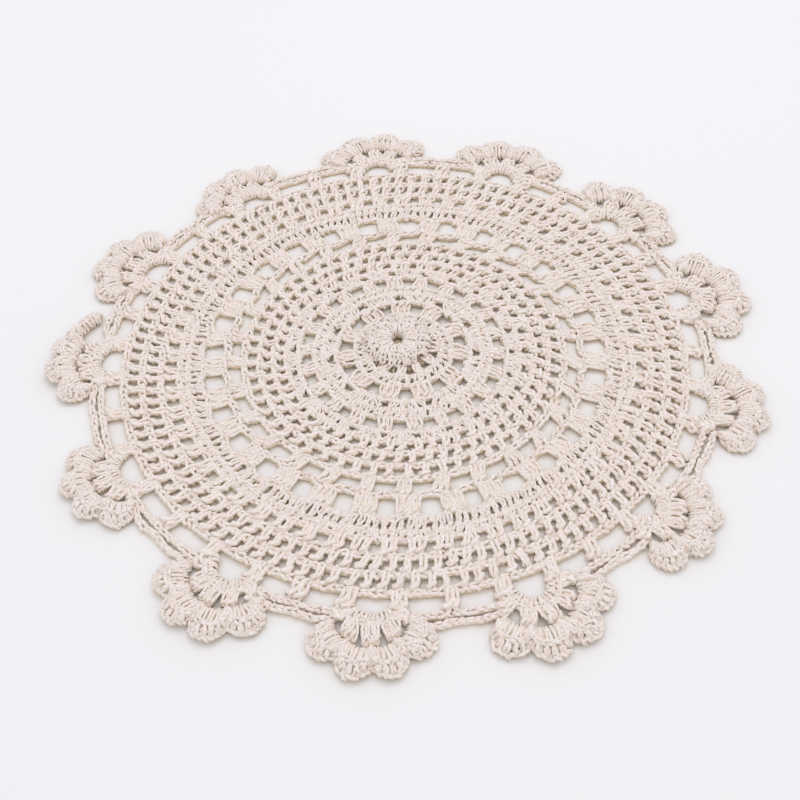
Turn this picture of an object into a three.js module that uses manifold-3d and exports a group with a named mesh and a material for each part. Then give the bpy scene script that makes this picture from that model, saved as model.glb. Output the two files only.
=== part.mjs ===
// A round crochet placemat, worked in one piece from thick cotton yarn: a flat openwork disc with
// rounds of gaps, a raised rosette in the middle and a border of fans, each with four puffed shells.
// Millimetres, +Z up. The underside lies on z = 0 and the Z axis runs through the rosette's eye.
import * as THREE from 'three';
import { mergeVertices } from 'three/addons/utils/BufferGeometryUtils.js';
import Module from 'manifold-3d';

// Driving dimensions
const THICK = 3.6; // the cloth, two strands of yarn over each other
const EDGE_RADIUS = 149; // outer side of the chains that link the fans
const ARCH_RADIUS = 140.6; // middle of the chain arches that carry the border
const FAN_RADIUS = 142.4; // middle of the arch that a fan grows from

// A shell is a low cushion lying on the surface, four of them to a fan. Its shoulder is where its
// side turns into its top, as a share of its size.
const SHELLS_PER_FAN = 4;
const SHELL_SPACING = 36; // degrees between neighbouring shells, seen from the fan's middle
const SHELL = { width: 17.4, height: 5.4, shoulder: 0.78 };
const SHELL_GAP = { along: 4.3, across: 4.2, sides: 4 };

// Places along a fan, as shares of its length from its middle to the tips of its shells
const GAP_SHARE = 0.4; // middles of the gaps at the feet of the shells
const PLATE_SHARE = 0.74; // edge of the flat plate that joins the shells
const SHELL_SHARE = 0.52; // depth of a shell

// The rosette stands over the cloth as a low dome with an eye in its middle
const ROSETTE = { radius: 17.5, rim: 5, shoulder: 15, crown: 8.2, height: 9.2 };
const EYE_RADIUS = 2.6;

// One row for each fan, anticlockwise from the right: where it stands on the round, how far its
// shells reach from the mat's middle, and how far it leans round about its own middle.
const FANS = [
  { turn: 11.8, reach: 176.5, lean: -4 },
  { turn: 37.5, reach: 175, lean: 0 },
  { turn: 65.6, reach: 174.5, lean: 3 },
  { turn: 94.3, reach: 173.5, lean: 5 },
  { turn: 124.5, reach: 171, lean: 11 },
  { turn: 153.9, reach: 175.5, lean: 3 },
  { turn: 180, reach: 173.5, lean: -11 },
  { turn: 208.3, reach: 171, lean: 5 },
  { turn: 237.9, reach: 176, lean: 0 },
  { turn: 263.1, reach: 172.5, lean: 6 },
  { turn: 290, reach: 174.5, lean: 8 },
  { turn: 316.3, reach: 171, lean: 16 },
  { turn: 343.1, reach: 172, lean: 13 },
];

// One row for each even round of gaps: how many, where its middle lies, where the first one stands,
// the gap's size along and across the round, and the sides of its outline. Both mesh rounds are
// drawn at no more than twice the pitch of the crochet.
const GAP_ROUNDS = [
  { name: 'gaps round the rosette', count: 11, radius: 29.6, first: 12.9, along: 5.6, across: 5, sides: 6 },
  { name: 'gaps between solid rounds', count: 22, radius: 48.2, first: 3.4, along: 5.2, across: 4.6, sides: 6 },
  { name: 'slits', count: 29, radius: 81.8, first: 11.4, along: 12, across: 4.1, sides: 6 },
  { name: 'large gaps', count: 29, radius: 92.2, first: 11.1, along: 9.4, across: 8.8, sides: 8 },
  { name: 'inner mesh', count: 58, radius: 113.8, first: 3.5, along: 4.3, across: 5.2, sides: 4 },
  { name: 'outer mesh', count: 58, radius: 131, first: 0.6, along: 4.4, across: 5, sides: 4 },
];
const FAN_ARCH = { along: 13.4, across: 9.6, sides: 8 };
const SIDE_ARCH = { along: 14.6, across: 7.4, sides: 6 };
const SIDE_ARCHES = 2; // chain arches between two neighbouring fans

// How finely round stretches are drawn
const FAN_STEPS = 6;
const EDGE_STEPS = 4;
const SHELL_SIDES = 8;
const ROSETTE_SIDES = 22;
const EYE_SIDES = 12;

const FULL_TURN = 360;
const radians = THREE.MathUtils.degToRad;

const wasm = await Module();
wasm.setup();

// A point at a distance and a turn, in degrees, from a middle.
function polarPoint(distance, turn, middle = new THREE.Vector2()) {
  const angle = radians(turn);
  return new THREE.Vector2(distance * Math.cos(angle), distance * Math.sin(angle)).add(middle);
}

// A gap's outline, with its width along the round and its middle at the given point.
function gapPath({ along, across, sides }, middle, turn) {
  const step = FULL_TURN / sides;
  const corner = 1 / Math.cos(radians(step / 2)); // corners stand out so that the flats keep the size
  const outward = polarPoint(1, turn);
  const sideways = polarPoint(1, turn + 90);
  const points = [];
  for (let i = 0; i < sides; i++) {
    const local = polarPoint(corner / 2, step * (i + 0.5));
    const point = middle.clone();
    point.addScaledVector(sideways, local.x * along);
    point.addScaledVector(outward, local.y * across);
    points.push(point);
  }
  return new THREE.Path(points);
}

function fanMiddle(fan) {
  return polarPoint(FAN_RADIUS, fan.turn);
}

function fanLength(fan) {
  return fan.reach - FAN_RADIUS;
}

// The directions, in degrees, in which a fan's shells point.
function shellTurns(fan) {
  const turns = [];
  for (let i = 0; i < SHELLS_PER_FAN; i++) {
    const place = i - (SHELLS_PER_FAN - 1) / 2;
    turns.push(fan.turn + fan.lean + place * SHELL_SPACING);
  }
  return turns;
}

// Degrees from one fan to the next one round the mat.
function turnToNext(index) {
  const next = FANS[(index + 1) % FANS.length].turn;
  return (next - FANS[index].turn + FULL_TURN) % FULL_TURN;
}

// Where the arc of a fan's plate meets the edge, in degrees from the fan's own line: seen from the
// fan's middle, and seen from the mat's middle.
function plateEnds(fan) {
  const plate = PLATE_SHARE * fanLength(fan);
  const cosine = (EDGE_RADIUS ** 2 - FAN_RADIUS ** 2 - plate ** 2) / (2 * FAN_RADIUS * plate);
  const fromFan = THREE.MathUtils.radToDeg(Math.acos(cosine));
  const meeting = polarPoint(plate, fromFan, new THREE.Vector2(FAN_RADIUS, 0));
  return { plate, fromFan, fromMat: THREE.MathUtils.radToDeg(meeting.angle()) };
}

// The mat's outline: each fan's plate, then the chains along the edge to the next fan.
function matOutline() {
  const points = [];
  FANS.forEach((fan, index) => {
    const { plate, fromFan, fromMat } = plateEnds(fan);
    for (let i = 0; i <= FAN_STEPS; i++) {
      const turn = fan.turn - fromFan + (2 * fromFan * i) / FAN_STEPS;
      points.push(polarPoint(plate, turn, fanMiddle(fan)));
    }
    const nextFan = FANS[(index + 1) % FANS.length];
    const span = turnToNext(index) - fromMat - plateEnds(nextFan).fromMat;
    for (let i = 1; i < EDGE_STEPS; i++) {
      points.push(polarPoint(EDGE_RADIUS, fan.turn + fromMat + (span * i) / EDGE_STEPS));
    }
  });
  return new THREE.Shape(points);
}

// The flat cloth with every gap that goes through it.
function clothGeometry() {
  const outline = matOutline();
  for (const round of GAP_ROUNDS) {
    for (let i = 0; i < round.count; i++) {
      const turn = round.first + (FULL_TURN * i) / round.count;
      outline.holes.push(gapPath(round, polarPoint(round.radius, turn), turn));
    }
  }
  FANS.forEach((fan, index) => {
    outline.holes.push(gapPath(FAN_ARCH, fanMiddle(fan), fan.turn));
    for (const turn of shellTurns(fan)) {
      const middle = polarPoint(GAP_SHARE * fanLength(fan), turn, fanMiddle(fan));
      outline.holes.push(gapPath(SHELL_GAP, middle, turn));
    }
    for (let i = 1; i <= SIDE_ARCHES; i++) {
      const turn = fan.turn + (turnToNext(index) * i) / (SIDE_ARCHES + 1);
      outline.holes.push(gapPath(SIDE_ARCH, polarPoint(ARCH_RADIUS, turn), turn));
    }
  });
  return new THREE.ExtrudeGeometry(outline, { depth: THICK, bevelEnabled: false });
}

// A puffed shell: a low cushion with a flat underside, at the rim of its fan.
function shellGeometry(fan, turn) {
  const profile = [
    new THREE.Vector2(0, 0),
    new THREE.Vector2(1, 0),
    new THREE.Vector2(SHELL.shoulder, SHELL.shoulder),
    new THREE.Vector2(0, 1),
  ];
  const shell = new THREE.LatheGeometry(profile, SHELL_SIDES).rotateX(Math.PI / 2);
  const depth = SHELL_SHARE * fanLength(fan);
  shell.scale(depth / 2, SHELL.width / 2, SHELL.height);
  shell.rotateZ(radians(turn));
  const middle = polarPoint(fanLength(fan) - depth / 2, turn, fanMiddle(fan));
  return shell.translate(middle.x, middle.y, 0);
}

function rosetteGeometry() {
  const profile = [
    new THREE.Vector2(0, 0),
    new THREE.Vector2(ROSETTE.radius, 0),
    new THREE.Vector2(ROSETTE.radius, ROSETTE.rim),
    new THREE.Vector2(ROSETTE.shoulder, (ROSETTE.rim + ROSETTE.height) / 2),
    new THREE.Vector2(ROSETTE.crown, ROSETTE.height),
    new THREE.Vector2(0, ROSETTE.height),
  ];
  return new THREE.LatheGeometry(profile, ROSETTE_SIDES).rotateX(Math.PI / 2);
}

// The eye's cutter stands out of both faces of the rosette.
function eyeGeometry() {
  const eye = new THREE.CylinderGeometry(EYE_RADIUS, EYE_RADIUS, 3 * ROSETTE.height, EYE_SIDES);
  return eye.rotateX(Math.PI / 2);
}

// A closed solid from a geometry, with its shared corners merged.
function toSolid(geometry) {
  geometry.deleteAttribute('normal');
  geometry.deleteAttribute('uv');
  const merged = mergeVertices(geometry);
  const vertProperties = new Float32Array(merged.getAttribute('position').array);
  const triVerts = new Uint32Array(merged.index.array);
  return new wasm.Manifold(new wasm.Mesh({ numProp: 3, vertProperties, triVerts }));
}

function toGeometry(solid) {
  const mesh = solid.getMesh();
  const geometry = new THREE.BufferGeometry();
  geometry.setAttribute('position', new THREE.BufferAttribute(new Float32Array(mesh.vertProperties), 3));
  geometry.setIndex(new THREE.BufferAttribute(new Uint32Array(mesh.triVerts), 1));
  geometry.computeVertexNormals();
  return geometry;
}

// The whole mat, worked in one piece: cloth, shells and rosette joined, and the eye cut through.
function matSolid() {
  let solid = toSolid(clothGeometry());
  for (const fan of FANS) {
    for (const turn of shellTurns(fan)) {
      solid = solid.add(toSolid(shellGeometry(fan, turn)));
    }
  }
  solid = solid.add(toSolid(rosetteGeometry()));
  return solid.subtract(toSolid(eyeGeometry()));
}

const cotton = new THREE.MeshStandardMaterial({ color: 0xe9dfd3, roughness: 0.95, metalness: 0 });

const mat = new THREE.Mesh(toGeometry(matSolid()), cotton);
mat.name = 'mat';

const placemat = new THREE.Group();
placemat.add(mat);

export default placemat;
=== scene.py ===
# A round crochet placemat in thick cream cotton, worked stitch by stitch from strands of yarn.
# Lengths are millimetres and turns are degrees in the mat's own frame, +Z up; meshes are in metres.
from collections import namedtuple
from dataclasses import dataclass

import bpy
import numpy as np
from mathutils import Matrix, Vector


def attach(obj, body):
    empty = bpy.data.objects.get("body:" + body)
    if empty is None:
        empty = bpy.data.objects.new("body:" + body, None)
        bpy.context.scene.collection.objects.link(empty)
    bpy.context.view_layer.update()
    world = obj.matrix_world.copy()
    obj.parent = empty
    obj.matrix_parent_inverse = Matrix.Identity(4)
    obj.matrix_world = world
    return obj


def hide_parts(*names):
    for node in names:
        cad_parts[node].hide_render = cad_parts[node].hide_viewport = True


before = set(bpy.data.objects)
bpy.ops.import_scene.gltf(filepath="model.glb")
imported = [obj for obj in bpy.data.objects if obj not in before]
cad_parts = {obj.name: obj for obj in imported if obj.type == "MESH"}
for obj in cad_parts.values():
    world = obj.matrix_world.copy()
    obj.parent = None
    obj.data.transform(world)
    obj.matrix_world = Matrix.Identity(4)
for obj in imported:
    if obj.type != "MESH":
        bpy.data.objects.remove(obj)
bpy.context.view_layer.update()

# Driving dimensions
MM = 0.001
YARN = 1.9  # diameter of the plied yarn
STITCH = 3.9  # length of one chain stitch
RISE = 1.4  # how far a stitch stands up for each yarn diameter in its rows
MIDDLE = 1.75  # height of the cloth's middle layer over the table
BRAID = 1.9  # height of the chains at the heads of the posts
BACK = 0.8  # how far the strands at the back of the stitches lie below the middle layer
CHAIN_SIDE = 0.7  # how far the two strands under a chain lie to its sides
CLEAR = 1.15  # least height of a strand's middle over the table, in radii of the strand
GROUND_HALF = 0.6  # half width and thickness of the ground strips inside the back strands
GROUND_THICK = 0.4
FAN_RADIUS = 142.4  # middle of the arch that a fan grows from

# Radius of the yarn in the kinds of stitches
TAUT = 0.76  # legs and loops of close stitches, and the rosette's knots
LOOSE = 0.9  # chains, knots of the shells, and wraps of close posts
FULL = 0.97  # legs of loose posts, and the braid at their heads
PLUMP = 1.1  # wraps of loose posts
DENSE = 0.85  # strand behind a close post, where its round gives no other
BODY = 1.2  # strand behind a loose post
STUFFED = 1.9  # strands inside a puff and inside the rosette
PUFF_RADII = (0.76, 0.88)  # loops over a puff, at foot and head

# Painted shade: the yarn is tinted tan near the table, inside the stitches and on the undersides of the
# strands, where shade falls
CLOTH_SHADE_HEIGHT = 2.7  # height below which the painted tan shade begins, in the cloth
FAN_SHADE_HEIGHT = 2.2  # in the fans
ARCH_SHADE_HEIGHT = 1.4  # in the chain arches
SHADE_INSIDE = 0.25  # least share of painted tan shade in a strand inside the stitches
SHADE_UNDER = 0.35  # share of painted tan shade that a strand's underside gains
SHADE_UNDER_FROM = 0.5  # where the underside begins: 1 is the strand's top and -1 its bottom

# How uneven the work is
HAND = 0.3  # how far the yarn strays from its place in a stitch
STRAY = 0.45  # how far a stitch strays from its place in a round
EVEN = 0.14  # share by which the widths of stitches differ
LUMPS = 0.05  # share by which a strand's thickness differs along it
TWIST_SHIFT = 9.0  # how far the twist of a strand is moved along it, at most
SEED = 7

# How finely a strand of yarn is drawn
SIDES = 5
LEG_STEPS = 7
WRAP_STEPS = 8
LINK_STEPS = 9
ROSETTE_STEPS = 10

rng = np.random.default_rng(SEED)
UP = np.array([0.0, 0.0, 1.0])
LEVEL = 1 - UP  # leaves only the level part of a step
ASKEW = (1e-3, 2e-3, 0)  # gives an upright strand a side to start from

# Each stitch is a row of places that its yarn passes: across the stitch in yarn diameters, along it
# from foot to head as a share, further along in yarn diameters, and up in yarn diameters pressed flat.
LEG_OVER = np.array([  # round a chain
    (0.40, 0.00, -1.00, -0.35),
    (0.44, 0.00, -0.85, 0.35),
    (0.48, 0.00, -0.10, 0.75),
    (0.50, 0.22, 0.25, 0.60),
    (0.42, 0.50, 0.00, 0.40),
    (0.22, 0.78, 0.00, 0.10),
    (0.10, 1.02, 0.00, -0.35),
])
LEG_ACROSS = np.array([  # over the braid below, and together under the wrap
    (0.35, 0.00, -0.80, 0.00),
    (0.62, 0.00, -0.45, 0.65),
    (0.80, 0.10, 0.10, 0.72),
    (0.72, 0.42, 0.00, 0.50),
    (0.45, 0.72, 0.00, 0.20),
    (0.20, 1.00, 0.00, -0.30),
])
LEG_ALONE = np.array([  # the same, of a post that stands by itself
    (0.35, 0.00, -0.80, 0.00),
    (0.52, 0.00, -0.45, 0.65),
    (0.50, 0.10, 0.10, 0.75),
    (0.42, 0.42, 0.00, 0.55),
    (0.36, 0.72, 0.00, 0.20),
    (0.20, 1.00, 0.00, -0.30),
])
WRAP = np.array([  # slants over the legs near their heads and curls out beside them
    (0.66, 0.38, 0.00, 0.15),
    (0.46, 0.54, 0.00, 1.00),
    (-0.15, 0.70, 0.00, 1.25),
    (-0.86, 0.80, 0.00, 0.90),
    (-1.10, 0.60, 0.00, -0.05),
    (-0.10, 0.46, 0.00, -0.45),
])
TIGHT_WRAP = np.array([  # lies close round a post that has neighbours on both sides
    (0.52, 0.55, 0.00, 0.05),
    (0.20, 0.63, 0.00, 0.75),
    (-0.25, 0.76, 0.00, 0.85),
    (-0.58, 0.85, 0.00, 0.25),
    (-0.30, 0.82, 0.00, -0.45),
    (0.20, 0.63, 0.00, -0.45),
])
LINK = np.array([  # a chain stitch, or the V at the head of a close stitch
    (0.00, -0.12, 0.00, -0.35),
    (0.22, 0.22, 0.00, 0.25),
    (0.42, 0.58, 0.00, 0.45),
    (0.55, 0.98, 0.00, 0.12),
    (0.25, 1.26, 0.00, -0.45),
    (-0.25, 1.26, 0.00, -0.45),
    (-0.55, 0.98, 0.00, 0.12),
    (-0.42, 0.58, 0.00, 0.45),
    (-0.22, 0.22, 0.00, 0.25),
])
PUFF_LOOP = np.array([  # one of the loops side by side over a puff
    (0.00, 0.00, 0.30, -0.75),
    (0.00, 0.00, -0.10, 0.05),
    (0.00, 0.22, 0.00, 0.55),
    (0.00, 0.60, 0.00, 0.75),
    (0.00, 0.95, 0.00, 0.40),
    (0.00, 1.10, 0.00, -0.40),
])
COMB = np.array([  # one of the close loops that wrap a chain
    (0.10, 0.00, -0.30, 0.10),
    (0.10, 0.00, 0.10, 0.85),
    (-0.05, 1.00, -0.40, 0.85),
    (-0.15, 1.00, 0.20, 0.10),
    (-0.05, 1.00, -0.40, -0.60),
    (0.10, 0.00, 0.10, -0.60),
])
MIRROR = np.array([-1.0, 1.0, 1.0, 1.0])


@dataclass
class Round:
    """A round of posts: radius of feet and heads, groups in the round and posts in a group."""

    piece: str
    foot: float
    head: float
    groups: int
    posts: int = 1
    foot_gap: float = 0.0  # between the posts of a group
    head_gap: float = 0.0
    first: float = 0.0  # turn of the first gap
    lean: float = -1.2  # how far the heads stand round the mat from the feet
    over: bool = False  # feet go round a chain, not through a braid
    tight: bool = False  # posts stand side by side
    width: tuple = (1.0, 1.0)  # of a post, at foot and head
    wave: float = 0.0  # how far the chain at the heads bows inwards between the groups
    links: int = 0  # chain stitches in the braid at the heads, or as many as fit
    braid: float = 1.1  # width of that braid, in chain stitches
    behind: float = 0.0  # radius of the strands behind the posts, where it isn't the usual one
    sway: float = 0.0  # how far the heads of a group stray together


ROUNDS = [
    # The rounds under and round the rosette, with 11 gaps
    Round("centre", 12.0, 18.4, 11, 2, 1.5, 2.0, 17.5, lean=0.0, tight=True, width=(0.7, 0.8)),
    Round("centre", 19.0, 23.6, 36, over=True, tight=True, width=(0.8, 0.8), links=36, braid=0.6),
    Round(
        "centre", 24.0, 32.8, 11, 3, 2.6, 3.3, 9.0, lean=0.0,
        tight=True, width=(1.0, 1.05), links=52, braid=0.5, behind=1.5,
    ),
    Round(
        "centre", 33.3, 39.0, 11, 6, 1.8, 3.7, 25.4, lean=0.0,
        over=True, tight=True, width=(0.6, 1.0), links=66, braid=0.8,
    ),
    # Two solid rounds, with 22 gaps between them
    Round("inner", 39.0, 43.3, 77, tight=True, width=(0.55, 0.75), links=77, braid=0.5),
    Round(
        "inner", 43.5, 51.2, 22, 3, 1.9, 2.1, 3.4, lean=0.0,
        tight=True, width=(0.75, 0.8), links=88, braid=0.5, behind=1.3,
    ),
    Round(
        "inner", 51.9, 56.6, 22, 5, 1.8, 3.2, 11.6, lean=0.0,
        over=True, tight=True, width=(0.6, 0.9), links=110, braid=0.8,
    ),
    # The inner mesh
    Round("inner", 56.8, 63.0, 29, 2, 5.2, 5.6, 9.4, links=116, braid=0.95),
    Round("inner", 63.2, 69.8, 58, links=116, braid=0.95),
    Round("inner", 70.0, 77.0, 58, first=3.1, links=116),
    # Slits, and large gaps outside them
    Round(
        "lattice", 77.8, 86.2, 29, 3, 1.7, 3.0, 11.1, lean=-3.5,
        over=True, tight=True, width=(0.8, 0.8), wave=1.2, braid=1.3, behind=1.4, sway=0.8,
    ),
    Round(
        "lattice", 87.8, 97.6, 29, 4, 2.3, 2.7, 11.1, lean=0.0,
        tight=True, width=(0.85, 0.95), wave=-1.6, links=174, behind=1.4, sway=1.1,
    ),
    # Two solid rounds
    Round(
        "middle", 99.0, 104.9, 174,
        over=True, tight=True, width=(0.7, 0.7), links=174, braid=0.75, behind=1.25,
    ),
    Round("middle", 105.0, 108.8, 182, tight=True, width=(0.55, 0.75), links=182, braid=0.75, behind=1.25),
    # The outer mesh
    Round("outer", 109.2, 117.0, 58, 2, 3.9, 4.2, 3.5, links=174, braid=1.3),
    Round("outer", 117.2, 125.6, 116, links=232, braid=1.3),
    Round("outer", 125.8, 134.2, 117, first=0.6, links=234, braid=1.3),
]

# Where the cloth lies off its even rounds: the turn and radius of each place, how far it spreads
# both ways, and how far it is pushed outwards.
Slack = namedtuple("Slack", "turn radius spread depth push")
SLACKS = [
    Slack(310, 112, 20, 15, -1.4),
    Slack(105, 116, 14, 14, -1.1),
    Slack(35, 86, 28, 9, -1.2),
    Slack(315, 86, 24, 9, 1.7),
    Slack(222, 86, 20, 9, 0.9),
    Slack(0, 48, 34, 14, -1.2),
    Slack(350, 110, 12, 15, 1.0),
    Slack(188, 106, 24, 9, -0.9),
    Slack(130, 104, 12, 9, 1.2),
]

# The stitches are spread wider on one side of the mat than on the other
UNEVEN = 2.7  # by how many degrees
UNEVEN_TURN = 25.0  # where they are spread least
UNEVEN_FROM = 40.0  # none of that inside the first radius, and all of it outside the second
UNEVEN_TO = 80.0

DOME_RADIUS = 42.0  # the middle of the mat stands up a little, over this radius and by this much
DOME_HEIGHT = 1.2

# The rosette. Its loops come out of its eye, and each of their places has a distance from the eye,
# a height and a radius of the yarn.
ROSETTE_LOOP = np.array([
    (2.9, 1.6, 0.50),
    (2.9, 4.4, 0.50),
    (3.5, 6.0, 0.55),
    (5.2, 6.5, 0.70),
    (7.4, 6.5, 0.90),
    (9.0, 6.2, 0.95),
    (9.8, 5.4, 0.95),
])
ROSETTE_PLACE = (-2.6, 4.0, 0.0)  # its eye lies a little off the mat's middle
ROSETTE_LOOPS = 28
LOOP_STRAY = 1.5  # how far the loops stray, in degrees
LOOP_SWEEP = 6  # how far a loop turns round the eye on its way out
LOOP_HAND = 0.15  # how far its yarn strays
EYE_STRETCH = 1.5  # how far the eye is longer than round, at each end
RING_RADIUS = 10.2  # the braid round the loops
RING_HEIGHT = 6.0
RING_LINKS = 20

# Rows round the rosette, from a near to a far distance and from one height to another: the knots
# of its rim, and the strands inside it
Row = namedtuple("Row", "count near near_height far far_height radius")
KNOT_ROWS = [
    Row(24, 10.8, 6.0, 13.2, 5.6, TAUT),
    Row(27, 12.6, 5.4, 15.2, 4.4, TAUT),
]
KNOT_STRAY = 4  # how far the knots stray, in degrees
FILL_ROWS = [
    Row(18, 5.2, 5.2, 13.6, 4.6, STUFFED),
    Row(18, 5.0, 3.0, 13.6, 3.0, STUFFED),
    Row(18, 0.6, 1.3, 5.0, 1.3, 0.6),
    Row(40, 8.0, 0.9, 17.5, 0.9, 1.2),
]

# The fans, anticlockwise from the right: turn on the round, reach of the shells from the mat's
# middle, how far the fan leans round its own middle, and how far its tip stands off the table.
# Its arch has a half width and a height, the whole fan is so much broader than it is long, and its
# clockwise shell can be pulled out.
Fan = namedtuple("Fan", "turn reach lean lift wide tall broad pull")
FANS = [
    Fan(11.8, 176.5, -4, 1.0, 7.0, 10.0, 1.0, 0),
    Fan(37.5, 174.5, 0, 0.5, 7.2, 8.8, 1.1, 0),
    Fan(65.6, 173.0, 3, 0.5, 7.4, 8.6, 1.13, 0),
    Fan(94.3, 171.5, 5, 0.5, 7.4, 7.4, 1.16, 0),
    Fan(124.5, 169.5, 11, 0.5, 7.4, 7.6, 1.14, 0),
    Fan(153.9, 174.0, 3, 1.0, 9.0, 8.8, 1.0, 0),
    Fan(180.0, 172.0, -4, 3.0, 9.6, 9.0, 1.0, 9.5),
    Fan(208.3, 171.0, 5, 1.5, 9.4, 7.8, 1.0, 0),
    Fan(237.9, 175.0, 0, 1.5, 8.0, 9.0, 0.92, 0),
    Fan(263.1, 173.0, 6, 1.0, 9.2, 6.0, 0.97, 0),
    Fan(290.0, 175.0, 8, 1.0, 7.2, 9.2, 1.0, 0),
    Fan(316.3, 171.5, 16, 1.0, 6.0, 6.6, 1.0, 0),
    Fan(343.1, 172.0, 13, 1.0, 8.4, 8.4, 1.02, 0),
]
FAN_LENGTH = 32.0  # a fan of this length has the distances given below
LEAN_FROM = 6.0  # a fan leans from this distance on, and fully so much further out
LEAN_OVER = 12.0

# The arch under a fan: close loops over a chain, and a braid outside them. Each lies so far beyond
# the edge of the arch's gap and so many degrees to both sides, with so many places.
Arc = namedtuple("Arc", "beyond spread places")
COMB_FOOT = Arc(0.4, 84, 18)
COMB_HEAD = Arc(4.0, 84, 18)
ARCH_CHAIN = Arc(2.2, 90, 15)
ARCH_BRAID = Arc(5.0, 88, 12)
ARCH_BASE = -4.2  # where the arch stands, from the fan's middle
ARCH_CHAIN_RADIUS = 1.4
ARCH_BRAID_RISE = 0.5

# Three groups of three posts between the arch and the shells, and a pair of posts at each side
GROUP_TURNS = (-37, 0, 37)
GROUP_PLACES = np.array([-1, 0, 1])
GROUP_FOOT = 5.6  # beyond the edge of the arch's gap
GROUP_HEAD = 17.0  # from the fan's middle
FOOT_SHARE = 0.9  # turn of a group's feet, as a share of its heads' turn
FOOT_STEP = 8  # degrees between neighbouring posts
HEAD_STEP = 7
GROUP_WIDTH = (0.85, 1.0)
GROUP_CROWN = 0.8
GROUP_BEHIND = 1.5
SIDE_TURNS = np.array([76, 86])
SIDE_FOOT = 11.5
SIDE_HEAD = 17.0

# A shell is worked between bows over it: how far the bow turns to both sides, its half width, where
# its middle lies beyond the foot of the shell, its depth beyond that, its height, and its places.
Bow = namedtuple("Bow", "spread wide near deep height places")
PUFF_FOOT = Bow(90, 5.2, -1.8, 2.0, 1.9, 11)
PUFF_HEAD = Bow(84, 6.4, 2.6, 5.0, 4.0, 11)
BRAID_BOW = Bow(100, 6.6, 3.2, 5.4, 4.3, 9)
KNOT_FOOT = Bow(98, 6.6, 4.0, 5.6, 4.1, 9)
KNOT_HEAD = Bow(102, 7.2, 5.0, 7.5, 3.0, 9)
RIM_BOW = Bow(108, 7.4, 5.4, 8.3, 1.8, 12)
FILL_FOOT = Bow(94, 5.0, -0.5, 2.0, 2.8, 9)
FILL_HEAD = Bow(94, 5.9, 4.9, 6.9, 3.1, 9)
SHELL_TURNS = (-54, -18, 18, 54)
SHELL_FOOT = 17.8  # from the fan's middle
KNOT_WIDTH = 0.62  # widths in chain stitches
SHELL_BRAID = 0.75
PULL_TURN = 0.047  # how much straighter a shell gets for each millimetre it is pulled out
PULL_THIN = 0.055  # how much thinner
PULL_WIDE = 0.06  # how much wider

# Between two fans: pairs of posts with a chain over them, and an edge chain from fan to fan. Shares
# are of the way from one fan to the next.
POST_FOOT = 134.8
POST_HEAD = 144.2
POST_SHARES = (1 / 6, 1 / 2, 5 / 6)
POST_PAIR = np.array([-1.5, 1.5])  # places of the two posts, from the middle of the pair
POST_LEAN = 0.5  # how far their heads stand back, in degrees
POST_WIDTH = (1.0, 0.9)
POST_CHAIN = 145.0
POST_CHAIN_PLACES = 14
EDGE_DISTANCE = 17.0  # where the edge chain leaves a fan, from the fan's middle
EDGE_TURN = 78
EDGE_BENDS = [(149.4, 0.36), (148.4, 0.5), (149.4, 0.64)]  # radius and share of each bend
EDGE_PLACES = 13
BETWEEN_BRAID = 0.95  # width of both chains, in chain stitches

# Cotton, with the colours of its painted shade
PLIES = 3
PLY_LENGTH = 2.2  # length of yarn in which a ply goes once round it
PLY_RELIEF = 0.45  # height of the plies against the fibres
RELIEF = 0.3  # height of both
FIBRES = 1500  # about so many side by side in a metre
CREAM = (0.95, 0.79, 0.655, 1)
LIGHT_CREAM = (0.98, 0.845, 0.723, 1)
# painted shade colour, mixed into the cream by the depth attribute
SHADE_TAN = (0.90, 0.73, 0.45, 1)
# painted shade: the ground is darker than the yarn, so that it reads as shaded yarn in the gaps between
# strands
GROUND_SHADE_COLOUR = (0.78, 0.68, 0.6)

# The studio
FLOOR_SIZE = 6  # in metres
FLOOR_COLOUR = (0.90, 0.835, 0.75)
LIGHT_COLOUR = (0.9, 0.96, 1.1)
CAMERA = {"lens": 49.9, "distance": 516.5, "elevation": 49.68, "roll": -2.135, "aim": (-2.6, -31.1, 2.2)}
SENSOR = 36


def polar(radius, turn, height=MIDDLE):
    """Points at a radius and a turn round the mat's middle."""
    angle = np.radians(turn)
    x = radius * np.cos(angle)
    y = radius * np.sin(angle)
    return np.stack(np.broadcast_arrays(x, y, height), axis=-1)


def even_turns(count):
    """Turns of so many even places all round."""
    return 360 * np.arange(count) / count


def spline_weights(controls, samples, closed):
    """Weights that turn control points into samples of a smooth curve through them."""
    spans = controls if closed else controls - 1
    places = np.arange(samples) * spans / (samples if closed else samples - 1)
    first = np.minimum(places.astype(int), spans - 1)
    u = places - first
    basis = (
        -u / 2 + u**2 - u**3 / 2,
        1 - 2.5 * u**2 + 1.5 * u**3,
        u / 2 + 2 * u**2 - 1.5 * u**3,
        -(u**2) / 2 + u**3 / 2,
    )
    weights = np.zeros((samples, controls))
    for step, share in enumerate(basis, start=-1):
        index = first + step
        index = index % controls if closed else np.clip(index, 0, controls - 1)
        np.add.at(weights, (np.arange(samples), index), share)
    return weights


def smooth_path(points, samples):
    """Samples of a smooth open curve through points."""
    return spline_weights(len(points), samples, closed=False) @ np.asarray(points)


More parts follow.
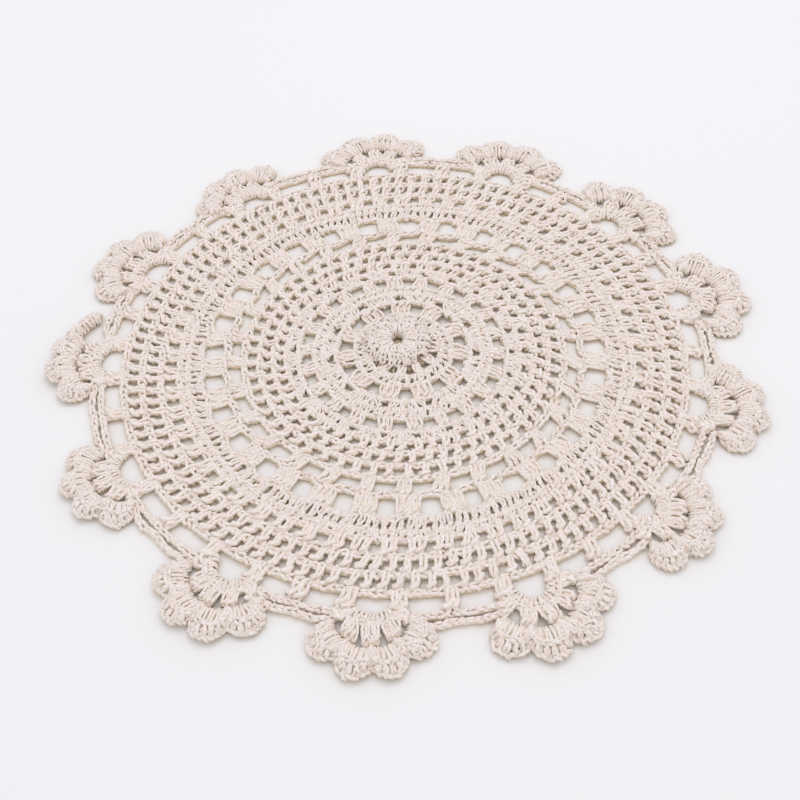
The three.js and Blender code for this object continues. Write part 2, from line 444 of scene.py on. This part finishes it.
def work(rows, foot, head, samples, closed=False, width=(1.0, 1.0), crown=0.0):
    """Paths of one strand of yarn in the stitches between every foot and its head."""
    along = head - foot
    length = np.linalg.norm(along, axis=-1, keepdims=True)
    forward = along / length
    side = np.cross(UP, forward)
    side /= np.linalg.norm(side, axis=-1, keepdims=True)
    across, share, further, rise = rows.T
    distance = share * length + further * YARN
    height = rise * RISE + crown * np.sin(np.pi * np.clip(share, 0, 1))
    across = across * YARN * (width[0] + (width[1] - width[0]) * share)
    across = across * (1 + rng.normal(0, EVEN, length.shape))
    points = (
        foot[:, None]
        + forward[:, None] * distance[..., None]
        + side[:, None] * across[..., None]
        + UP * height[None, :, None]
    )
    points += rng.normal(0, HAND, points.shape)
    return spline_weights(len(rows), samples, closed) @ points


def carried_frames(paths, closed):
    """Two directions square to each path that turn with it as little as they can."""
    if closed:
        tangent = np.roll(paths, -1, axis=1) - np.roll(paths, 1, axis=1)
    else:
        tangent = np.gradient(paths, axis=1)
    tangent /= np.linalg.norm(tangent, axis=-1, keepdims=True)
    samples = paths.shape[1]
    normals = np.empty_like(paths)
    normal = np.cross(tangent[:, 0], UP) + ASKEW
    for i in range(samples):
        normal = normal - tangent[:, i] * np.sum(normal * tangent[:, i], axis=-1, keepdims=True)
        normal /= np.linalg.norm(normal, axis=-1, keepdims=True)
        normals[:, i] = normal
    binormals = np.cross(tangent, normals)
    if closed:
        back = normal - tangent[:, 0] * np.sum(normal * tangent[:, 0], axis=-1, keepdims=True)
        turned = np.arctan2(np.sum(back * binormals[:, 0], axis=-1), np.sum(back * normals[:, 0], axis=-1))
        angle = (-turned[:, None] * np.arange(samples) / samples)[..., None]
        normals, binormals = (
            normals * np.cos(angle) + binormals * np.sin(angle),
            binormals * np.cos(angle) - normals * np.sin(angle),
        )
    return normals, binormals


def dome(radius):
    """How far the cloth stands off the table at a radius."""
    return DOME_HEIGHT * np.exp(-((radius / DOME_RADIUS) ** 2))


def settle(points):
    """Points of the even rounds where the cloth really lies: pushed in and out, and domed in the middle."""
    x, y, z = np.moveaxis(points, -1, 0)
    radius = np.hypot(x, y)
    turn = np.degrees(np.arctan2(y, x))
    push = np.zeros_like(radius)
    for slack in SLACKS:
        away = (turn - slack.turn + 180) % 360 - 180
        further = radius - slack.radius
        push += slack.push * np.exp(-((away / slack.spread) ** 2) - (further / slack.depth) ** 2)
    scale = 1 + push / radius
    return np.stack([x * scale, y * scale, z + dome(radius)], axis=-1)


def tube_faces(index, length, closed):
    """Faces of tubes and of their ends, each with the places of its corners round and along the strand."""
    here = index if closed else index[:, :-1]
    there = np.roll(index, -1, axis=1) if closed else index[:, 1:]
    quads = np.stack([here, np.roll(here, -1, 2), np.roll(there, -1, 2), there], axis=-1)
    spans = quads.shape[1]
    around = np.arange(SIDES) / SIDES
    u0 = np.broadcast_to(around, quads.shape[:-1])
    u1 = u0 + 1 / SIDES
    v0 = np.broadcast_to(length[:, :spans, None], u0.shape)
    v1 = np.broadcast_to(length[:, 1:spans + 1, None], u0.shape)
    uv = np.stack([np.stack(place, -1) for place in ((u0, v0), (u1, v0), (u1, v1), (u0, v1))], -2)
    faces = [(quads.reshape(-1, 4), uv.reshape(-1, 2))]
    if not closed:
        for ends, v in ((index[:, 0, ::-1], length[:, 0]), (index[:, -1], length[:, spans])):
            flat = np.stack(np.broadcast_arrays(around, v[:, None]), axis=-1)
            faces.append((ends, flat.reshape(-1, 2)))
    return faces


class Skein:
    """Strands of yarn that become one mesh, with painted tan shade below a height over the table."""

    def __init__(self, name, deep=CLOTH_SHADE_HEIGHT):
        self.name = name
        self.deep = deep
        self.corners = []
        self.faces = []
        self.tones = []
        self.shade_shares = []
        self.cores = []  # feet and heads of the stitches, where the ground lies
        self.count = 0

    def lay(self, paths, radius=LOOSE, closed=False, inside=0.0):
        """Lay a tube of yarn along every path, resting on the table where it is low.

        The radius is one number, or one for each sample of a path. Inside is the least share of painted tan
        shade."""
        strands, samples, _ = paths.shape
        radius = np.broadcast_to(radius, samples)
        paths = settle(paths)
        paths[..., 2] = np.maximum(paths[..., 2], CLEAR * radius)
        normals, binormals = carried_frames(paths, closed)
        around = 2 * np.pi * np.arange(SIDES) / SIDES
        thickness = radius[:, None, None] * (1 + rng.normal(0, LUMPS, (strands, samples, 1, 1)))
        ring = normals[:, :, None] * np.cos(around)[:, None] + binormals[:, :, None] * np.sin(around)[:, None]
        corners = paths[:, :, None] + ring * thickness

        step = np.roll(paths, -1, axis=1) - paths
        length = np.cumsum(np.linalg.norm(step, axis=-1), axis=1)
        length = np.concatenate([np.zeros((strands, 1)), length], axis=1)
        length = length + rng.uniform(0, TWIST_SHIFT, (strands, 1))
        index = self.count + np.arange(strands * samples * SIDES).reshape(strands, samples, SIDES)
        self.faces.extend(tube_faces(index, length, closed))

        # Painted shade: the share of tan grows below the shade height over the cloth, never falls below the
        # inside share, and grows on the strand's underside.
        over = corners[..., 2] - dome(np.hypot(corners[..., 0], corners[..., 1]))
        under = SHADE_UNDER * np.clip(SHADE_UNDER_FROM - ring[..., 2], 0, 1)
        self.shade_shares.append(np.clip(np.maximum(1 - over / self.deep, inside) + under, 0, 1).ravel())
        self.tones.append(np.repeat(rng.uniform(0, 1, strands), samples * SIDES))
        self.corners.append(corners.reshape(-1, 3))
        self.count += index.size

    def posts(self, foot, head, over=False, tight=False, width=(1.0, 1.0), crown=0.0, behind=0.0):
        """Double crochet posts: two legs, a slanted wrap round them and a strand behind them."""
        foot = foot + rng.normal(0, STRAY, foot.shape) * LEVEL
        head = head + rng.normal(0, STRAY, head.shape) * LEVEL
        if over:
            leg = LEG_OVER
        elif tight:
            leg = LEG_ACROSS
        else:
            leg = LEG_ALONE
        for rows in (leg, leg * MIRROR):
            self.lay(work(rows, foot, head, LEG_STEPS, False, width, crown), TAUT if tight else FULL)
        wrap = TIGHT_WRAP if tight else WRAP
        self.lay(work(wrap, foot, head, WRAP_STEPS, True, width, crown), LOOSE if tight else PLUMP, True)
        self.back(foot, head, behind or (DENSE if tight else BODY))

    def back(self, foot, head, radius):
        """The strand at the back of each stitch."""
        foot = foot - BACK * UP
        head = head - BACK * UP
        self.cores.append((foot, head))
        self.lay(np.stack([foot, head], axis=1), radius, inside=SHADE_INSIDE)

    def chain(self, points, width=1.0, radius=LOOSE):
        """Chain stitches along a row of points, one between each point and the next."""
        self.vees(points[:-1], points[1:], width, radius)
        low = points - BACK * UP
        self.cores.append((low[:-1], low[1:]))
        side = np.cross(UP, np.gradient(low, axis=0))
        side *= CHAIN_SIDE * width / np.linalg.norm(side, axis=-1, keepdims=True)
        self.lay(np.stack([low - side, low + side]))

    def vees(self, foot, head, width=1.0, radius=TAUT):
        """Heads of stitches: a V over each, from its foot out to its head."""
        self.lay(work(LINK, foot, head, LINK_STEPS, True, (width, width)), radius, True)

    def puff(self, foot, head):
        """Loops side by side, that are drawn together at their feet."""
        self.lay(work(PUFF_LOOP, foot, head, LEG_STEPS), np.linspace(*PUFF_RADII, LEG_STEPS))

    def comb(self, foot, head):
        """Single crochet stitches: close loops that wrap a chain."""
        self.lay(work(COMB, foot, head, WRAP_STEPS, True), TAUT, True)

    def to_object(self, material):
        """The mesh of all strands, as an object in the scene."""
        mesh = bpy.data.meshes.new(self.name)
        corners = np.concatenate(self.corners) * MM
        loops = np.concatenate([faces.ravel() for faces, _ in self.faces])
        totals = np.concatenate([np.full(len(faces), faces.shape[1]) for faces, _ in self.faces])
        starts = np.concatenate([[0], np.cumsum(totals)[:-1]])
        mesh.vertices.add(len(corners))
        mesh.vertices.foreach_set("co", corners.ravel())
        mesh.loops.add(len(loops))
        mesh.loops.foreach_set("vertex_index", loops)
        mesh.polygons.add(len(totals))
        mesh.polygons.foreach_set("loop_start", starts)
        mesh.polygons.foreach_set("use_smooth", np.ones(len(totals), bool))
        mesh.update(calc_edges=True)
        uv_layer = mesh.uv_layers.new(name="yarn")
        uv_layer.data.foreach_set("uv", np.concatenate([uv for _, uv in self.faces]).ravel())
        tone = mesh.attributes.new("tone", "FLOAT", "POINT")
        tone.data.foreach_set("value", np.concatenate(self.tones))
        # the painted shade share of each corner
        depth = mesh.attributes.new("depth", "FLOAT", "POINT")
        depth.data.foreach_set("value", np.concatenate(self.shade_shares))
        return add_piece(self.name, mesh, material)


def add_piece(name, mesh, material):
    mesh.materials.append(material)
    piece = bpy.data.objects.new(name, mesh)
    bpy.context.collection.objects.link(piece)
    return piece


def group_turns(row, radius, gap):
    """Turns of all posts of a round at one radius."""
    middles = row.first + 360 * (np.arange(row.groups) + 0.5) / row.groups
    places = (np.arange(row.posts) - (row.posts - 1) / 2) * gap
    return (middles[:, None] + np.degrees(places / radius)).ravel()


def spread_turns(radius, turns):
    """The turns of even stitches at a radius, moved to where the stitches really stand."""
    share = np.clip((radius - UNEVEN_FROM) / (UNEVEN_TO - UNEVEN_FROM), 0, 1)
    return turns + UNEVEN * share * (1 - np.cos(np.radians(turns - UNEVEN_TURN)))


def work_round(skein, row):
    """The posts of a round, and the braid at their heads."""
    feet = group_turns(row, row.foot, row.foot_gap)
    heads = group_turns(row, row.head, row.head_gap) + np.degrees(row.lean / row.head)
    sway = np.repeat(rng.normal(0, row.sway, row.groups), row.posts)
    foot = polar(row.foot, spread_turns(row.foot, feet))
    head = polar(row.head, spread_turns(row.head, heads + np.degrees(sway / row.head)))
    skein.posts(foot, head, row.over, row.tight, row.width, behind=row.behind)
    count = row.links or round(2 * np.pi * row.head / STITCH)
    turns = heads[0] + 360 * (np.arange(count + 1) - 0.5) / count
    bow = row.wave * np.cos(np.radians(row.groups * (turns - row.first)))
    points = polar(row.head - bow, spread_turns(row.head, turns), BRAID)
    skein.chain(points, row.braid, LOOSE if row.tight else FULL)


def rosette_points(distance, turns, height):
    """Points round the rosette's eye."""
    return polar(distance, turns, height) + ROSETTE_PLACE


def work_rosette(skein):
    """The raised rosette: loops out of its eye, a braid, two rows of knots, and the yarn inside."""
    distance, height, radius = smooth_path(ROSETTE_LOOP, ROSETTE_STEPS).T
    turns = even_turns(ROSETTE_LOOPS) + rng.normal(0, LOOP_STRAY, ROSETTE_LOOPS)
    sweep = np.linspace(0, LOOP_SWEEP, ROSETTE_STEPS)
    loops = rosette_points(distance, turns[:, None] + sweep, height)
    stretch = EYE_STRETCH * np.linspace(1, 0, ROSETTE_STEPS)
    loops[..., 1] += np.sin(np.radians(turns))[:, None] * stretch
    skein.lay(loops + rng.normal(0, LOOP_HAND, loops.shape), radius)
    ring = rosette_points(RING_RADIUS, np.linspace(0, 360, RING_LINKS + 1), RING_HEIGHT)
    skein.vees(ring[:-1], ring[1:])
    for row in KNOT_ROWS:
        turns = even_turns(row.count)
        foot = rosette_points(row.near, turns + rng.normal(0, KNOT_STRAY, row.count), row.near_height)
        head = rosette_points(row.far, turns + rng.normal(0, KNOT_STRAY, row.count), row.far_height)
        skein.vees(foot, head, radius=row.radius)
    for row in FILL_ROWS:
        turns = even_turns(row.count)
        foot = rosette_points(row.near, turns, row.near_height)
        skein.back(foot, rosette_points(row.far, turns, row.far_height), row.radius)


def fan_point(fan, across, outward, height=MIDDLE):
    """Points of a fan, across it and outwards from its middle, leaning and raised towards its tip."""
    size = (fan.reach - FAN_RADIUS) / FAN_LENGTH
    across = fan.broad * np.asarray(across)
    distance = np.hypot(across, outward)
    lean = fan.lean * np.clip((distance - LEAN_FROM) / LEAN_OVER, 0, 1)
    turn = np.degrees(np.arctan2(across, outward)) + lean
    point = polar(size * distance, turn + fan.turn, height) + polar(FAN_RADIUS, fan.turn, 0)
    point[..., 2] += fan.lift * np.clip(outward / FAN_LENGTH, 0, 1) ** 2
    return point


def fan_polar(fan, distance, turn):
    """Points of a fan at a distance and a turn from its middle."""
    angle = np.radians(turn)
    return fan_point(fan, distance * np.sin(angle), distance * np.cos(angle))


def arch_point(fan, beyond, turn, height=MIDDLE):
    """Points round the arch under a fan, so far beyond the edge of its gap."""
    angle = np.radians(turn)
    across = (fan.wide + beyond) * np.sin(angle)
    return fan_point(fan, across, ARCH_BASE + (fan.tall + beyond) * np.cos(angle), height)


def arc_points(fan, arc, height=MIDDLE):
    """All places of an arc round the arch under a fan."""
    return arch_point(fan, arc.beyond, np.linspace(-arc.spread, arc.spread, arc.places), height)


def shell_points(fan, turn, bow):
    """Points on a bow over one shell of a fan."""
    pull = fan.pull if turn == SHELL_TURNS[0] else 0
    angle = np.radians(turn)
    aim = angle * (1 - PULL_TURN * pull)
    spread = np.radians(np.linspace(-bow.spread, bow.spread, bow.places))
    outward = (1 - PULL_THIN * pull) * (bow.near + bow.deep * np.cos(spread))
    across = (1 + PULL_WIDE * pull) * bow.wide * np.sin(spread)
    x = (SHELL_FOOT + pull) * np.sin(angle) + outward * np.sin(aim) + across * np.cos(aim)
    y = (SHELL_FOOT + pull) * np.cos(angle) + outward * np.cos(aim) - across * np.sin(aim)
    return fan_point(fan, x, y, bow.height)


def work_shell(skein, fan, turn):
    """A puffed shell: loops from its foot, a braid, knots and a braided rim, and the yarn inside."""
    skein.puff(shell_points(fan, turn, PUFF_FOOT), shell_points(fan, turn, PUFF_HEAD))
    knot_foot = shell_points(fan, turn, KNOT_FOOT)
    skein.vees(knot_foot, shell_points(fan, turn, KNOT_HEAD), KNOT_WIDTH, LOOSE)
    for bow in (BRAID_BOW, RIM_BOW):
        braid = shell_points(fan, turn, bow)
        skein.vees(braid[:-1], braid[1:], SHELL_BRAID, LOOSE)
    skein.back(shell_points(fan, turn, FILL_FOOT), shell_points(fan, turn, FILL_HEAD), STUFFED)


def work_fan(skein, fan):
    """A fan: its arch, the posts that stand on the arch and its shells."""
    skein.comb(arc_points(fan, COMB_FOOT), arc_points(fan, COMB_HEAD))
    skein.lay(arc_points(fan, ARCH_CHAIN)[None], ARCH_CHAIN_RADIUS)
    skein.chain(arc_points(fan, ARCH_BRAID, MIDDLE + ARCH_BRAID_RISE))
    for middle in GROUP_TURNS:
        foot = arch_point(fan, GROUP_FOOT, FOOT_SHARE * middle + FOOT_STEP * GROUP_PLACES)
        head = fan_polar(fan, GROUP_HEAD, middle + HEAD_STEP * GROUP_PLACES)
        skein.posts(foot, head, tight=True, width=GROUP_WIDTH, crown=GROUP_CROWN, behind=GROUP_BEHIND)
    for turns in (-SIDE_TURNS, SIDE_TURNS):
        skein.posts(fan_polar(fan, SIDE_FOOT, turns), fan_polar(fan, SIDE_HEAD, turns))
    for turn in SHELL_TURNS:
        work_shell(skein, fan, turn)


def fan_pairs():
    """Every fan with the one after it, and the degrees from its turn to the next one's."""
    for fan, after in zip(FANS, FANS[1:] + FANS[:1]):
        yield fan, after, (after.turn - fan.turn) % 360


def work_arches(skein):
    """The posts and the chains between every two fans."""
    for fan, after, span in fan_pairs():
        middles = fan.turn + span * np.array(POST_SHARES)
        for middle in middles:
            turns = middle + np.degrees(POST_PAIR / POST_FOOT)
            head = polar(POST_HEAD, turns - POST_LEAN)
            skein.posts(polar(POST_FOOT, turns), head, over=True, width=POST_WIDTH)
        chain_turns = np.linspace(middles[0], middles[-1], POST_CHAIN_PLACES)
        skein.chain(polar(POST_CHAIN, chain_turns), BETWEEN_BRAID)
        bends = [polar(radius, fan.turn + span * share) for radius, share in EDGE_BENDS]
        start = fan_polar(fan, EDGE_DISTANCE, EDGE_TURN)
        end = fan_polar(after, EDGE_DISTANCE, -EDGE_TURN)
        skein.chain(smooth_path([start, *bends, end], EDGE_PLACES), BETWEEN_BRAID)


def build_ground(skeins, material):
    """The thin ground inside the yarn: a narrow strip inside the back strand of each stitch."""
    foot = settle(np.concatenate([foot for skein in skeins for foot, _ in skein.cores]))
    head = settle(np.concatenate([head for skein in skeins for _, head in skein.cores]))
    side = np.cross(UP, head - foot)
    side *= GROUND_HALF / np.linalg.norm(side, axis=-1, keepdims=True)
    corners = np.stack([foot + side, foot - side, head - side, head + side], axis=1).reshape(-1, 3)
    faces = np.arange(len(corners)).reshape(-1, 4)
    mesh = bpy.data.meshes.new("ground")
    mesh.from_pydata((corners * MM).tolist(), [], faces.tolist())
    piece = add_piece("ground", mesh, material)
    solidify = piece.modifiers.new("thickness", "SOLIDIFY")
    solidify.thickness = GROUND_THICK * MM
    solidify.offset = 0
    return piece


def add_math(nodes, operation):
    node = nodes.new("ShaderNodeMath")
    node.operation = operation
    return node


def add_mix(nodes, links, attribute):
    """A mix of two colours by an attribute of the mesh."""
    factor = nodes.new("ShaderNodeAttribute")
    factor.attribute_name = attribute
    mix = nodes.new("ShaderNodeMix")
    mix.data_type = "RGBA"
    links.new(factor.outputs["Fac"], mix.inputs["Factor"])
    return mix


def add_yarn_bump(nodes, links):
    """The relief of the yarn: plies twisted along the strand, and fibres."""
    uv = nodes.new("ShaderNodeUVMap")
    uv.uv_map = "yarn"
    split = nodes.new("ShaderNodeSeparateXYZ")
    links.new(uv.outputs["UV"], split.inputs["Vector"])
    twist = add_math(nodes, "MULTIPLY")
    twist.inputs[1].default_value = 2 * np.pi / PLY_LENGTH
    links.new(split.outputs["Y"], twist.inputs[0])
    plies = add_math(nodes, "MULTIPLY_ADD")
    plies.inputs[1].default_value = PLIES * 2 * np.pi
    links.new(split.outputs["X"], plies.inputs[0])
    links.new(twist.outputs[0], plies.inputs[2])
    ridge = add_math(nodes, "SINE")
    links.new(plies.outputs[0], ridge.inputs[0])

    place = nodes.new("ShaderNodeTexCoord")
    fibre = nodes.new("ShaderNodeTexNoise")
    fibre.inputs["Scale"].default_value = FIBRES
    fibre.inputs["Detail"].default_value = 3
    links.new(place.outputs["Object"], fibre.inputs["Vector"])
    height = add_math(nodes, "MULTIPLY_ADD")
    height.inputs[1].default_value = PLY_RELIEF
    links.new(ridge.outputs[0], height.inputs[0])
    links.new(fibre.outputs["Fac"], height.inputs[2])
    bump = nodes.new("ShaderNodeBump")
    bump.inputs["Strength"].default_value = 0.8
    bump.inputs["Distance"].default_value = RELIEF * MM
    links.new(height.outputs[0], bump.inputs["Height"])
    return bump


def cotton_material(name):
    """Matte cream cotton, lighter in some strands than in others, with painted tan shade where the yarn lies
    deep and on the undersides of strands.
    """
    material = bpy.data.materials.new(name)
    material.use_nodes = True
    nodes = material.node_tree.nodes
    links = material.node_tree.links
    shader = nodes["Principled BSDF"]
    shader.inputs["Roughness"].default_value = 0.9
    shader.inputs["Specular IOR Level"].default_value = 0.2
    shader.inputs["Sheen Weight"].default_value = 0.15
    bump = add_yarn_bump(nodes, links)
    links.new(bump.outputs["Normal"], shader.inputs["Normal"])
    cream = add_mix(nodes, links, "tone")
    cream.inputs["A"].default_value = CREAM
    cream.inputs["B"].default_value = LIGHT_CREAM
    # painted shade: the depth attribute mixes tan into the cream
    shade = add_mix(nodes, links, "depth")
    shade.inputs["B"].default_value = SHADE_TAN
    links.new(cream.outputs["Result"], shade.inputs["A"])
    links.new(shade.outputs["Result"], shader.inputs["Base Color"])
    return material


def plain_material(name, colour, roughness):
    material = bpy.data.materials.new(name)
    material.use_nodes = True
    shader = material.node_tree.nodes["Principled BSDF"]
    shader.inputs["Base Color"].default_value = (*colour, 1)
    shader.inputs["Roughness"].default_value = roughness
    return material


def build_floor():
    bpy.ops.mesh.primitive_plane_add(size=FLOOR_SIZE, location=(0, 0, 0))
    floor = bpy.context.object
    floor.name = "floor"
    floor.data.materials.append(plain_material("floor", FLOOR_COLOUR, roughness=0.9))


def add_light(name, place, aim, size, power):
    """A round soft light, with its place, aim and size in metres."""
    lamp = bpy.data.lights.new(name, "AREA")
    lamp.shape = "DISK"
    lamp.size = size
    lamp.energy = power
    lamp.color = LIGHT_COLOUR
    light = bpy.data.objects.new(name, lamp)
    light.location = place
    light.rotation_euler = (Vector(aim) - Vector(place)).to_track_quat("-Z", "Y").to_euler()
    bpy.context.collection.objects.link(light)


def light_scene():
    world = bpy.data.worlds.new("studio")
    world.use_nodes = True
    background = world.node_tree.nodes["Background"]
    background.inputs["Color"].default_value = (*LIGHT_COLOUR, 1)
    background.inputs["Strength"].default_value = 0.95
    bpy.context.scene.world = world
    add_light("key", place=(0.12, 0.4, 1.3), aim=(0, 0, 0), size=1.0, power=3.6)
    bpy.context.scene.view_settings.view_transform = "Standard"


def place_camera():
    """The camera at the photo's angle, looking along the mat's +Y and down, and rolled a little."""
    elevation, roll = np.radians([CAMERA["elevation"], CAMERA["roll"]])
    back = np.array([0, -np.cos(elevation), np.sin(elevation)])
    right = np.array([1.0, 0, 0])
    up = np.cross(back, right)
    pose = np.eye(4)
    pose[:3, 0] = np.cos(roll) * right + np.sin(roll) * up
    pose[:3, 1] = np.cos(roll) * up - np.sin(roll) * right
    pose[:3, 2] = back
    pose[:3, 3] = (np.array(CAMERA["aim"]) + CAMERA["distance"] * back) * MM
    camera = bpy.data.cameras.new("camera")
    camera.lens = CAMERA["lens"]
    camera.sensor_width = SENSOR
    camera.clip_start = 0.01
    viewer = bpy.data.objects.new("camera", camera)
    viewer.matrix_world = Matrix(pose.tolist())
    bpy.context.collection.objects.link(viewer)
    bpy.context.scene.camera = viewer


def build_mat():
    """All the yarn, piece by piece, and the ground inside it, in place of the plain mat."""
    cotton = cotton_material("cotton yarn with painted shade")
    skeins = {name: Skein(name) for name in ("centre", "inner", "lattice", "middle", "outer")}
    skeins["arches"] = Skein("arches", ARCH_SHADE_HEIGHT)
    work_rosette(skeins["centre"])
    for row in ROUNDS:
        work_round(skeins[row.piece], row)
    work_arches(skeins["arches"])
    for number, fan in enumerate(FANS, start=1):
        name = f"fan_{number:02d}"
        skeins[name] = Skein(name, FAN_SHADE_HEIGHT)
        work_fan(skeins[name], fan)
    pieces = [skein.to_object(cotton) for skein in skeins.values()]
    # the ground is coloured darker than the yarn, as painted shade between the strands
    ground = build_ground(skeins.values(), plain_material("cotton ground with painted shade", GROUND_SHADE_COLOUR, roughness=0.95))
    for piece in [ground, *pieces]:
        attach(piece, "root")
    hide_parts("mat")


build_mat()
build_floor()
light_scene()
place_camera()
